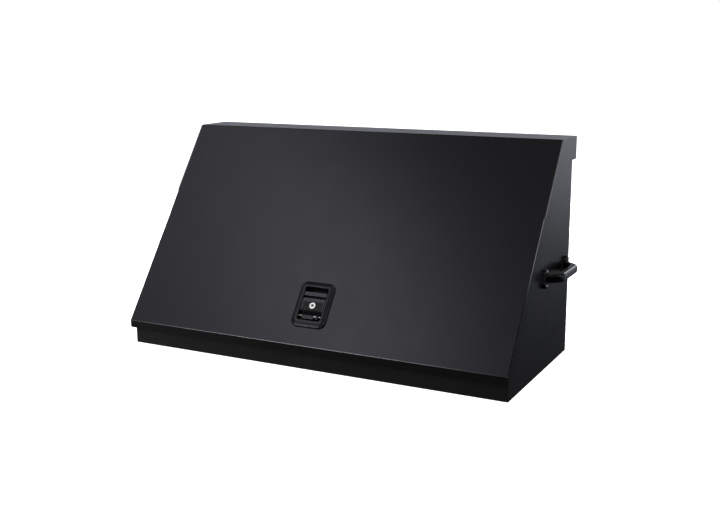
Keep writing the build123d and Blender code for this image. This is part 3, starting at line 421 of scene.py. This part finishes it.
def finish_piece(piece, slot, body, *nodes):
    """Gives a new piece its finish, its body and the CAD nodes that it stands for."""
    piece.data.materials.clear()
    piece.data.materials.append(MATERIALS[slot].material)
    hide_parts(*nodes)
    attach(piece, body)


def paint_frame():
    """Every carried-over CAD node takes the material of its own slot."""
    for row in frame["record"]["subparts"]:
        node = frame["nodes"][row["node"]]
        node.data.materials.clear()
        node.data.materials.append(MATERIALS[row["material_slot"]].material)


# Pieces made of rings of points


def skin(name, rings, closed_path=False):
    """A smooth mesh over closed rings of points, each with as many points as the last."""
    mesh = bmesh.new()
    rows = [[mesh.verts.new(point) for point in ring] for ring in rings]
    pairs = list(zip(rows, rows[1:]))
    if closed_path:
        pairs.append((rows[-1], rows[0]))
    for first, second in pairs:
        count = len(first)
        for i in range(count):
            j = (i + 1) % count
            mesh.faces.new((first[i], first[j], second[j], second[i]))
    if not closed_path:
        mesh.faces.new(list(reversed(rows[0])))
        mesh.faces.new(rows[-1])
    bmesh.ops.recalc_face_normals(mesh, faces=mesh.faces[:])
    data = mesh_data(name, mesh)
    data.shade_smooth()
    data.set_sharp_from_angle(angle=math.radians(35.0))
    return add_object(name, data)


def rounded_loop(half_x, low, high, corner, steps=10):
    """Points and outward directions round a rectangle with round corners, in its own plane."""
    points = []
    corners = [(half_x, high, 0), (-half_x, high, 1), (-half_x, low, 2), (half_x, low, 3)]
    for x, y, quarter in corners:
        centre_x = x - math.copysign(corner, x)
        centre_y = y - corner if y == high else y + corner
        for step in range(steps + 1):
            angle = math.radians(90.0 * (quarter + step / steps))
            away = (math.cos(angle), math.sin(angle))
            points.append((centre_x + corner * away[0], centre_y + corner * away[1], away))
    return points


# Weather seal: a bulb on a flat foot, which runs round the rim flanges

RIM_DEPTH = 9.5 * MM
RIM_BEND = (TOP_Z - RIM_DEPTH - LIP_TOP_Z + RIM_DEPTH * UP_Y) / UP_Z
SEAL_HALF = 6.0 * MM
SEAL_HEIGHT = 7.7 * MM
SEAL_FOOT = 1.8 * MM
SEAL_FOOT_EDGE = 0.8 * SEAL_FOOT
SEAL_BULB_HALF = 4.6 * MM
SEAL_CORNER = 14.0 * MM
SEAL_BEND = 12.0 * MM
SEAL_STEP = 4.0 * MM
BULB_STEPS = 12


def on_rim(x, along, above):
    """A place by its distance from the lip along the rim, and above the rim's face."""
    turn = min(max((along - RIM_BEND) / SEAL_BEND + 0.5, 0.0), 1.0)
    normal = OUTWARD.slerp(Vector((0.0, 0.0, 1.0)), turn)
    sloping = min(along, RIM_BEND)
    level = max(along - RIM_BEND, 0.0)
    base_y = LIP_Y + RIM_DEPTH * UP_Z + sloping * UP_Y + level
    base_z = LIP_TOP_Z - RIM_DEPTH * UP_Y + sloping * UP_Z
    return Vector((x, base_y, base_z)) + normal * above


def seal_outline():
    """The seal's section: a half-round bulb on a flat foot."""
    outline = [(SEAL_HALF, 0.0), (SEAL_HALF, SEAL_FOOT_EDGE)]
    for step in range(BULB_STEPS + 1):
        angle = math.radians(180.0 * step / BULB_STEPS)
        rise = SEAL_FOOT + (SEAL_HEIGHT - SEAL_FOOT) * math.sin(angle)
        outline.append((SEAL_BULB_HALF * math.cos(angle), rise))
    return [*outline, (-SEAL_HALF, SEAL_FOOT_EDGE), (-SEAL_HALF, 0.0)]


def short_steps(loop):
    """The loop with its straight runs divided, so that the seal can follow the rim's bend."""
    path = []
    for first, second in zip(loop, loop[1:] + loop[:1]):
        path.append(first)
        run = math.hypot(second[0] - first[0], second[1] - first[1])
        if run > 2.0 * SEAL_CORNER:
            count = int(run / SEAL_STEP)
            for step in range(1, count):
                share = step / count
                x = first[0] + (second[0] - first[0]) * share
                along = first[1] + (second[1] - first[1]) * share
                path.append((x, along, first[2]))
    return path


def weather_seal():
    seal_low, seal_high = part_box("weather_seal")
    half_x = seal_high.x - SEAL_HALF
    bend_y = LIP_Y + RIM_DEPTH * UP_Z + RIM_BEND * UP_Y
    high = RIM_BEND + seal_high.y - SEAL_HALF - bend_y
    low = (seal_low.z - LIP_TOP_Z + RIM_DEPTH * UP_Y) / UP_Z + SEAL_HALF
    outline = seal_outline()
    rings = []
    for x, along, away in short_steps(rounded_loop(half_x, low, high, SEAL_CORNER)):
        ring = []
        for side, rise in outline:
            ring.append(on_rim(x + away[0] * side, along + away[1] * side, rise))
        rings.append(ring)
    piece = skin("seal_bulb", rings, closed_path=True)
    finish_piece(piece, "seal", "body", "weather_seal")


# Latch gasket: a thin rubber ring with round edges, under the bezel


def on_panel(x, along, out):
    """A place in the panel's own plane: across, up the slope from the lip, and outward."""
    return Vector((x, LIP_Y + along * UP_Y, LIP_TOP_Z + along * UP_Z)) + OUTWARD * out


OPENING_CENTRE = 107.2 * MM
OPENING_HALF_WIDTH = 34.25 * MM
OPENING_HALF_LENGTH = 45.0 * MM
OPENING_CORNER = 6.6 * MM
GASKET_LOW = 47.6 * MM
GASKET_HIGH = 163.6 * MM
GASKET_CORNER = 17.0 * MM
GASKET_THICK = 1.0 * MM


def latch_gasket():
    half_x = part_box("latch_gasket")[1].x
    outer = rounded_loop(half_x, GASKET_LOW, GASKET_HIGH, GASKET_CORNER)
    low = OPENING_CENTRE - OPENING_HALF_LENGTH
    high = OPENING_CENTRE + OPENING_HALF_LENGTH
    inner = rounded_loop(OPENING_HALF_WIDTH, low, high, OPENING_CORNER)
    round_over = GASKET_THICK / 4.0
    edge = (round_over, 0.0), (0.0, round_over), (0.0, 3.0 * round_over), (round_over, GASKET_THICK)
    rings = []
    for (ox, oy, out_away), (ix, iy, in_away) in zip(outer, inner):
        ring = []
        for x, y, away, sign in ((ox, oy, out_away, 1.0), (ix, iy, in_away, -1.0)):
            for pull, out in edge:
                ring.append(on_panel(x - sign * away[0] * pull, y - sign * away[1] * pull, out))
        rings.append(ring[:4] + ring[:3:-1])
    piece = skin("gasket_ring", rings, closed_path=True)
    finish_piece(piece, "gasket", "lid", "latch_gasket")


# Handle screws: pan heads with a cross recess, and a thread that ends inside the box

HEAD_RADIUS = 4.5 * MM
HEAD_HEIGHT = 2.8 * MM
HEAD_EDGE = 0.9 * MM
HEAD_CHAMFER = 0.25 * MM
UNDERSIDE_RADIUS = 0.96 * HEAD_RADIUS
HEAD_TIP_RADIUS = 0.02 * MM
SHANK_RADIUS = 2.5 * MM
SHANK_TIP_RADIUS = 0.7 * SHANK_RADIUS
THREAD_DEPTH = 0.25 * MM
THREAD_PITCH = 0.8 * MM
THREAD_ROOT = 0.1 * MM
RECESS_HALF = 0.6 * MM
RECESS_REACH = 2.4 * MM
RECESS_DEPTH = 1.6 * MM
RECESS_CLEAR_HEIGHT = 1.4 * HEAD_HEIGHT
RECESS_INNER_SHARE = 0.45
RECESS_OUTER_SHARE = 1.15

# How far each screw of a handle was turned, in degrees
FIRST_TURN = 17.0
NEXT_TURN = 31.0


def lathe(name, profile, count=32):
    """A turned piece about X, from its (x, radius) profile."""
    rings = []
    for x, radius in profile:
        turn = [2.0 * math.pi * i / count for i in range(count)]
        rings.append([(x, radius * math.cos(a), radius * math.sin(a)) for a in turn])
    return skin(name, rings)


def cross_cutter():
    """Two crossed tapering blades, which cut the recess from the outer face inward."""
    blades = bmesh.new()
    for wide, thin in ((RECESS_REACH, RECESS_HALF), (RECESS_HALF, RECESS_REACH)):
        for vert in bmesh.ops.create_cube(blades, size=2.0)["verts"]:
            inner = vert.co.x < 0.0
            share = RECESS_INNER_SHARE if inner else RECESS_OUTER_SHARE
            x = HEAD_HEIGHT - RECESS_DEPTH if inner else RECESS_CLEAR_HEIGHT
            vert.co = Vector((x, vert.co.y * wide * share, vert.co.z * thin * share))
    return add_object("recess", mesh_data("recess", blades))


def screw_mesh(length):
    """One screw with its head's underside at x = 0 and its head towards +X."""
    profile = [(-length, SHANK_TIP_RADIUS)]
    for turn in range(int(length / THREAD_PITCH), 0, -1):
        x = -turn * THREAD_PITCH
        profile.append((x + THREAD_ROOT, SHANK_RADIUS - THREAD_DEPTH))
        profile.append((x + THREAD_PITCH / 2.0, SHANK_RADIUS))
    profile += [(0.0, SHANK_RADIUS), (0.0, UNDERSIDE_RADIUS), (HEAD_CHAMFER, HEAD_RADIUS)]
    for angle in range(0, 91, 15):
        rise = HEAD_EDGE + (HEAD_HEIGHT - HEAD_EDGE) * math.sin(math.radians(angle))
        profile.append((rise, max(HEAD_RADIUS * math.cos(math.radians(angle)), HEAD_TIP_RADIUS)))
    blank = lathe("screw_blank", profile)
    cutter = cross_cutter()
    cut = blank.modifiers.new("recess", "BOOLEAN")
    cut.object = cutter
    cut.operation = "DIFFERENCE"
    cut.solver = "EXACT"
    bpy.context.view_layer.update()
    graph = bpy.context.evaluated_depsgraph_get()
    done = bpy.data.meshes.new_from_object(blank.evaluated_get(graph))
    done.set_sharp_from_angle(angle=math.radians(30.0))
    bpy.data.objects.remove(blank)
    bpy.data.objects.remove(cutter)
    return done


def handle_screws(side, sign):
    node = f"handle_screws_{side}"
    low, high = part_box(node)
    reach = high.x - low.x
    seat = (high.x if sign > 0 else -low.x) - HEAD_HEIGHT
    one = screw_mesh(reach - HEAD_HEIGHT)
    mesh = bmesh.new()
    rows = (low.y + HEAD_RADIUS, high.y - HEAD_RADIUS)
    levels = (low.z + HEAD_RADIUS, high.z - HEAD_RADIUS)
    places = [(y, z) for y in rows for z in levels]
    for index, (y, z) in enumerate(places):
        before = len(mesh.verts)
        mesh.from_mesh(one)
        mesh.verts.ensure_lookup_table()
        turn = Matrix.Rotation(math.radians(FIRST_TURN + NEXT_TURN * index), 4, "X")
        facing = Matrix.Rotation(0.0 if sign > 0 else math.pi, 4, "Z")
        place = Matrix.Translation((sign * seat, y, z)) @ facing @ turn
        for vert in mesh.verts[before:]:
            vert.co = place @ vert.co
    data = mesh_data(f"recessed_screws_{side}", mesh)
    data.shade_smooth()
    data.set_sharp_from_angle(angle=math.radians(30.0))
    piece = add_object(f"recessed_screws_{side}", data)
    finish_piece(piece, "black_screws", "body", node)


# Studio

RIGHT = (1.0, 0.0, 0.0)
BACK = (0.0, 1.0, 0.0)
UP = (0.0, 0.0, 1.0)
FLOOR_HALF = 14.0
FLOOR_GAP = 0.5 * MM


def make_camera():
    """Looks along the yaw and pitch, turned by the roll."""
    right = Vector((math.cos(CAMERA_YAW), -math.sin(CAMERA_YAW), 0.0))
    level = Vector((math.sin(CAMERA_YAW), math.cos(CAMERA_YAW), 0.0))
    ahead = level * math.cos(CAMERA_PITCH) + Vector(UP) * math.sin(CAMERA_PITCH)
    up = right.cross(ahead)
    turned_right = right * math.cos(CAMERA_ROLL) + up * math.sin(CAMERA_ROLL)
    turned_up = up * math.cos(CAMERA_ROLL) - right * math.sin(CAMERA_ROLL)
    data = bpy.data.cameras.new("camera")
    data.lens = CAMERA_LENS
    data.sensor_width = SENSOR_WIDTH
    data.sensor_fit = "HORIZONTAL"
    data.clip_end = CAMERA_REACH
    camera = add_object("camera", data)
    turn = Matrix((turned_right, turned_up, -ahead)).transposed().to_4x4()
    camera.matrix_world = Matrix.Translation(CAMERA_PLACE) @ turn
    bpy.context.scene.camera = camera


def make_floor():
    """A white sheet that sends no light back, so that the box's low sides stay dim."""
    mesh = bmesh.new()
    bmesh.ops.create_grid(mesh, x_segments=24, y_segments=24, size=FLOOR_HALF)
    floor = add_object("floor", mesh_data("floor", mesh))
    floor.location.z = cad_low.z - FLOOR_GAP
    floor.visible_glossy = False
    floor.visible_diffuse = False
    paper = Paint("pale_floor")
    stops = (0.3, (0.9, 0.9, 0.9)), (0.7, (0.93, 0.93, 0.93))
    paper.link(paper.colours(paper.noise(3.0, 3.0), *stops), "Base Color")
    paper.link(paper.span(paper.noise(40.0, 4.0), 0.75, 0.9), "Roughness")
    paper.set(Emission_Color=(1.0, 1.0, 1.0, 1.0), Emission_Strength=1.05)
    floor.data.materials.append(paper.material)


def direction(azimuth, height):
    """A unit direction by its angle from the front towards the left, and its angle above level."""
    turn = math.radians(azimuth)
    rise = math.radians(height)
    level = Vector((-math.sin(turn), -math.cos(turn), 0.0))
    return level * math.cos(rise) + Vector(UP) * math.sin(rise)


class Sky:
    """The studio's light by direction, made of ramps along fixed axes."""

    def __init__(self):
        self.world = bpy.data.worlds.new("studio")
        self.world.use_nodes = True
        self.tree = self.world.node_tree
        self.tree.nodes.clear()
        self.way = self.tree.nodes.new("ShaderNodeTexCoord").outputs["Generated"]

    def along(self, axis):
        """The cosine between the direction and an axis."""
        node = self.tree.nodes.new("ShaderNodeVectorMath")
        node.operation = "DOT_PRODUCT"
        node.inputs[1].default_value = axis
        self.tree.links.new(self.way, node.inputs[0])
        return node.outputs["Value"]

    def levels(self, value, low, high, *stops):
        """Brightness stops by a value that runs from low to high."""
        shifted = self.tree.nodes.new("ShaderNodeMapRange")
        shifted.inputs["From Min"].default_value = low
        shifted.inputs["From Max"].default_value = high
        self.tree.links.new(value, shifted.inputs["Value"])
        node = self.tree.nodes.new("ShaderNodeValToRGB")
        for index, (place, level) in enumerate(stops):
            at = (place - low) / (high - low)
            elements = node.color_ramp.elements
            stop = elements[index] if index < 2 else elements.new(at)
            stop.position = at
            stop.color = (level, level, level, 1.0)
        self.tree.links.new(shifted.outputs["Result"], node.inputs["Fac"])
        return node.outputs["Color"]

    def ramp(self, axis, *stops):
        return self.levels(self.along(axis), -1.0, 1.0, *stops)

    def square(self, value, middle, half):
        """The square of the distance from the middle, in halves."""
        away = self.tree.nodes.new("ShaderNodeMapRange")
        away.clamp = False
        away.inputs["From Min"].default_value = middle
        away.inputs["From Max"].default_value = middle + half
        self.tree.links.new(value, away.inputs["Value"])
        node = self.tree.nodes.new("ShaderNodeMath")
        node.operation = "MULTIPLY"
        self.tree.links.new(away.outputs["Result"], node.inputs[0])
        self.tree.links.new(away.outputs["Result"], node.inputs[1])
        return node.outputs["Value"]

    def oval(self, across, upward, middle, halves, *stops):
        """Brightness stops from the middle of an oval to four times its squared size."""
        node = self.tree.nodes.new("ShaderNodeMath")
        node.operation = "ADD"
        sideways = self.square(self.along(across), middle[0], halves[0])
        upwards = self.square(self.along(upward), middle[1], halves[1])
        self.tree.links.new(sideways, node.inputs[0])
        self.tree.links.new(upwards, node.inputs[1])
        return self.levels(node.outputs["Value"], 0.0, 4.0, *stops)

    def spot(self, middle, half_width, half_height):
        """A soft oval around a direction, bright on that direction's side only."""
        across = middle.cross(UP).normalized()
        upward = across.cross(middle).normalized()
        soft = self.oval(
            across, upward, (0.0, 0.0), (half_width, half_height),
            (0.0, 1.0), (0.5, 0.8), (1.0, 0.4), (2.0, 0.08), (4.0, 0.0),
        )
        return self.product(soft, self.ramp(middle, (0.0, 0.0), (0.4, 1.0)))

    def product(self, first, second):
        node = self.tree.nodes.new("ShaderNodeMix")
        node.data_type = "RGBA"
        node.blend_type = "MULTIPLY"
        node.clamp_result = False
        node.inputs["Factor"].default_value = 1.0
        self.tree.links.new(first, node.inputs[6])
        self.tree.links.new(second, node.inputs[7])
        return node.outputs[2]

    def glow(self, levels, tint, strength):
        colour = self.tree.nodes.new("ShaderNodeRGB")
        colour.outputs["Color"].default_value = (*tint, 1.0)
        node = self.tree.nodes.new("ShaderNodeBackground")
        node.inputs["Strength"].default_value = strength
        tinted = self.product(levels, colour.outputs["Color"])
        self.tree.links.new(tinted, node.inputs["Color"])
        return node.outputs["Background"]

    def total(self, glows):
        whole = glows[0]
        for glow in glows[1:]:
            node = self.tree.nodes.new("ShaderNodeAddShader")
            self.tree.links.new(whole, node.inputs[0])
            self.tree.links.new(glow, node.inputs[1])
            whole = node.outputs["Shader"]
        return whole


# Windows of light, by azimuth and height in degrees, half width and half height as sines,
# tint and strength
WINDOWS = (
    # On the fold above the lip, and on the right end of the top strip
    (31.0, 14.0, 0.15, 0.1, (1.0, 0.98, 1.04), 6.0),
    (-176.0, 18.0, 0.1, 0.05, (0.95, 0.98, 1.08), 4.5),
    # On the lid as seen from the front, the left front and above
    (-4.0, 73.0, 0.2, 0.2, (0.96, 0.96, 1.08), 0.9),
    (-30.0, 36.0, 0.3, 0.22, (0.95, 0.97, 1.05), 1.6),
    (-16.0, -8.0, 0.22, 0.12, (0.95, 0.97, 1.05), 1.2),
    # On the top strip as seen from above, and on the left wall
    (180.0, 80.0, 0.12, 0.12, (0.95, 0.97, 1.05), 1.0),
    (152.0, -25.0, 0.2, 0.15, (0.95, 0.97, 1.05), 0.8),
)


def backdrop_glow(sky):
    """Light behind the box, which fades downwards and towards the left."""
    rise = sky.ramp(
        UP,
        (-0.35, 0.035), (-0.3, 0.048), (-0.252, 0.066), (-0.205, 0.13), (-0.176, 0.24),
        (-0.153, 0.42), (-0.123, 0.62), (-0.08, 0.78), (0.0, 1.0), (0.09, 1.05), (0.14, 0.7),
        (0.2, 0.24), (0.3, 0.1),
    )
    depth = sky.ramp(BACK, (-0.4, 0.0), (0.4, 1.0))
    side = sky.ramp(RIGHT, (-0.6, 0.66), (-0.42, 0.62), (-0.3, 0.7), (0.2, 1.0))
    return sky.glow(sky.product(sky.product(rise, depth), side), (0.94, 0.98, 1.1), 0.98)


def key_glow(sky):
    """A wide panel of light at the upper left, which fades towards its lower left."""
    middle = direction(43.0, 45.0)
    left = direction(133.0, 0.0)
    upward = left.cross(middle).normalized()
    panel = sky.oval(
        left, upward, (0.22, -0.02), (0.4, 0.18),
        (0.0, 1.0), (0.7, 1.0), (1.02, 0.08), (1.5, 0.02), (4.0, 0.01),
    )
    fade = sky.ramp(
        left * 0.75 - upward * 0.66,
        (-0.4, 1.0), (-0.03, 1.0), (0.016, 0.79), (0.054, 0.52), (0.073, 0.41),
        (0.112, 0.27), (0.158, 0.16), (0.25, 0.16), (0.4, 0.22),
    )
    facing = sky.ramp(middle, (0.0, 0.0), (0.4, 1.0))
    return sky.glow(sky.product(sky.product(panel, fade), facing), (0.95, 0.955, 1.1), 2.42)


def low_glow(sky):
    """Dim light from the low left front, on the lip and the sill."""
    below = sky.ramp(UP, (-0.9, 0.3), (-0.45, 1.0), (-0.2, 1.0), (0.1, 0.0))
    corner = sky.ramp(RIGHT, (-0.65, 0.22), (-0.5, 0.07), (-0.2, 0.03), (0.6, 0.0))
    ahead = sky.ramp(BACK, (-0.4, 1.0), (0.0, 0.0))
    return sky.glow(sky.product(sky.product(below, corner), ahead), (1.0, 1.0, 1.0), 1.0)


def make_world():
    """White behind the box, with the studio's own light on the box."""
    sky = Sky()
    glows = [backdrop_glow(sky), key_glow(sky), low_glow(sky)]
    for azimuth, height, half_width, half_height, tint, strength in WINDOWS:
        spot = sky.spot(direction(azimuth, height), half_width, half_height)
        glows.append(sky.glow(spot, tint, strength))
    seen = sky.tree.nodes.new("ShaderNodeBackground")
    seen.inputs["Color"].default_value = (1.0, 1.0, 1.0, 1.0)
    path = sky.tree.nodes.new("ShaderNodeLightPath")
    choose = sky.tree.nodes.new("ShaderNodeMixShader")
    sky.tree.links.new(path.outputs["Is Camera Ray"], choose.inputs["Fac"])
    sky.tree.links.new(sky.total(glows), choose.inputs[1])
    sky.tree.links.new(seen.outputs["Background"], choose.inputs[2])
    output = sky.tree.nodes.new("ShaderNodeOutputWorld")
    sky.tree.links.new(choose.outputs["Shader"], output.inputs["Surface"])
    bpy.context.scene.world = sky.world


def softbox(name, towards, distance, size, power, mirrored=False):
    """A square lamp that faces the box from a direction, and that the paint can mirror or not."""
    data = bpy.data.lights.new(name, "AREA")
    data.shape = "SQUARE"
    data.size = size
    data.energy = power
    lamp = add_object(name, data)
    way = Vector(towards).normalized()
    lamp.location = (cad_low + cad_high) / 2.0 + way * distance
    lamp.rotation_mode = "QUATERNION"
    lamp.rotation_quaternion = way.to_track_quat("Z", "Y")
    lamp.visible_glossy = mirrored


def make_lights():
    softbox("edge", (0.88, 0.01, 0.48), 2.5, 1.0, 3.0, mirrored=True)
    softbox("fill", (-0.55, -0.79, 0.27), 2.2, 1.0, 28.0)
    softbox("rear", (-0.45, 0.85, 0.3), 2.4, 1.2, 70.0)
    data = bpy.data.lights.new("overhead", "SUN")
    data.energy = 1.6
    data.angle = math.radians(30.0)
    lamp = add_object("overhead", data)
    lamp.rotation_euler = (math.radians(-6.0), math.radians(5.0), 0.0)
    lamp.visible_glossy = False


paint_frame()
weather_seal()
latch_gasket()
handle_screws("right", 1.0)
handle_screws("left", -1.0)
make_camera()
make_floor()
make_world()
make_lights()

bpy.context.scene.view_settings.view_transform = "Standard"
